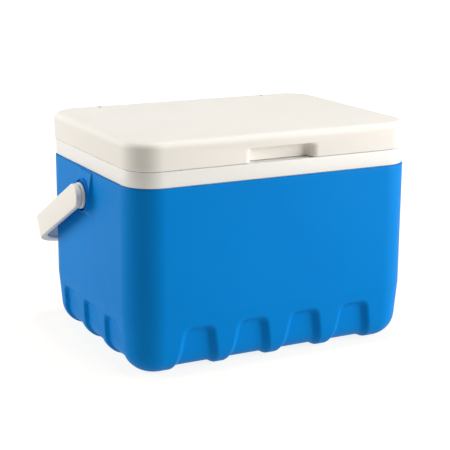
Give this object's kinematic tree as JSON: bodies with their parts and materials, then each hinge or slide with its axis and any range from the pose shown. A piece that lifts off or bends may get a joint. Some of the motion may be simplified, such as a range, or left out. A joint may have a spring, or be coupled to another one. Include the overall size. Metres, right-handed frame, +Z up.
{
  "type": "cooler chest",
  "caption": "Insulated hard-sided cooler chest with a foam-filled body and lid, a hinged lid with a finger recess, a notched base and a swinging carry handle.",
  "frame": {"origin": "middle of the body's flat base, on the floor", "axes": "+Z up, +X to the chest's right as seen from the front, along its width; the front with the finger recess faces -Y"},
  "size_m": [0.406, 0.3064, 0.2725],
  "materials": {
    "shell_blue": "satin moulded polyethylene",
    "lid_white": "warm white satin moulding",
    "liner_white": "white smooth food-grade moulding",
    "handle_white": "warm white satin moulding",
    "bush_white": "white low-friction moulding",
    "foam": "closed-cell polyurethane foam",
    "pin_steel": "drawn steel pin"
  },
  "bodies": {
    "body": {"outer_shell": "shell_blue", "body_insulation": "foam", "inner_liner": "liner_white", "foam_fill_plug": "shell_blue", "pivot_bush_left": "bush_white", "pivot_bush_right": "bush_white"},
    "lid": {"lid_shell": "lid_white", "lid_insulation": "foam", "lid_liner": "liner_white", "hinge_pin_left": "pin_steel", "hinge_pin_right": "pin_steel"},
    "handle": {"carry_handle": "handle_white"}
  },
  "joints": [
    {"name": "lid_hinge", "type": "hinge", "parent": "body", "child": "lid", "pos_m": [0, 0.1345, 0.252], "axis": [-1, 0, 0], "range_deg": [0, 105]},
    {"name": "handle_swing", "type": "hinge", "parent": "body", "child": "handle", "pos_m": [0, 0.003, 0.19], "axis": [1, 0, 0], "range_deg": [0, 230]}
  ]
}
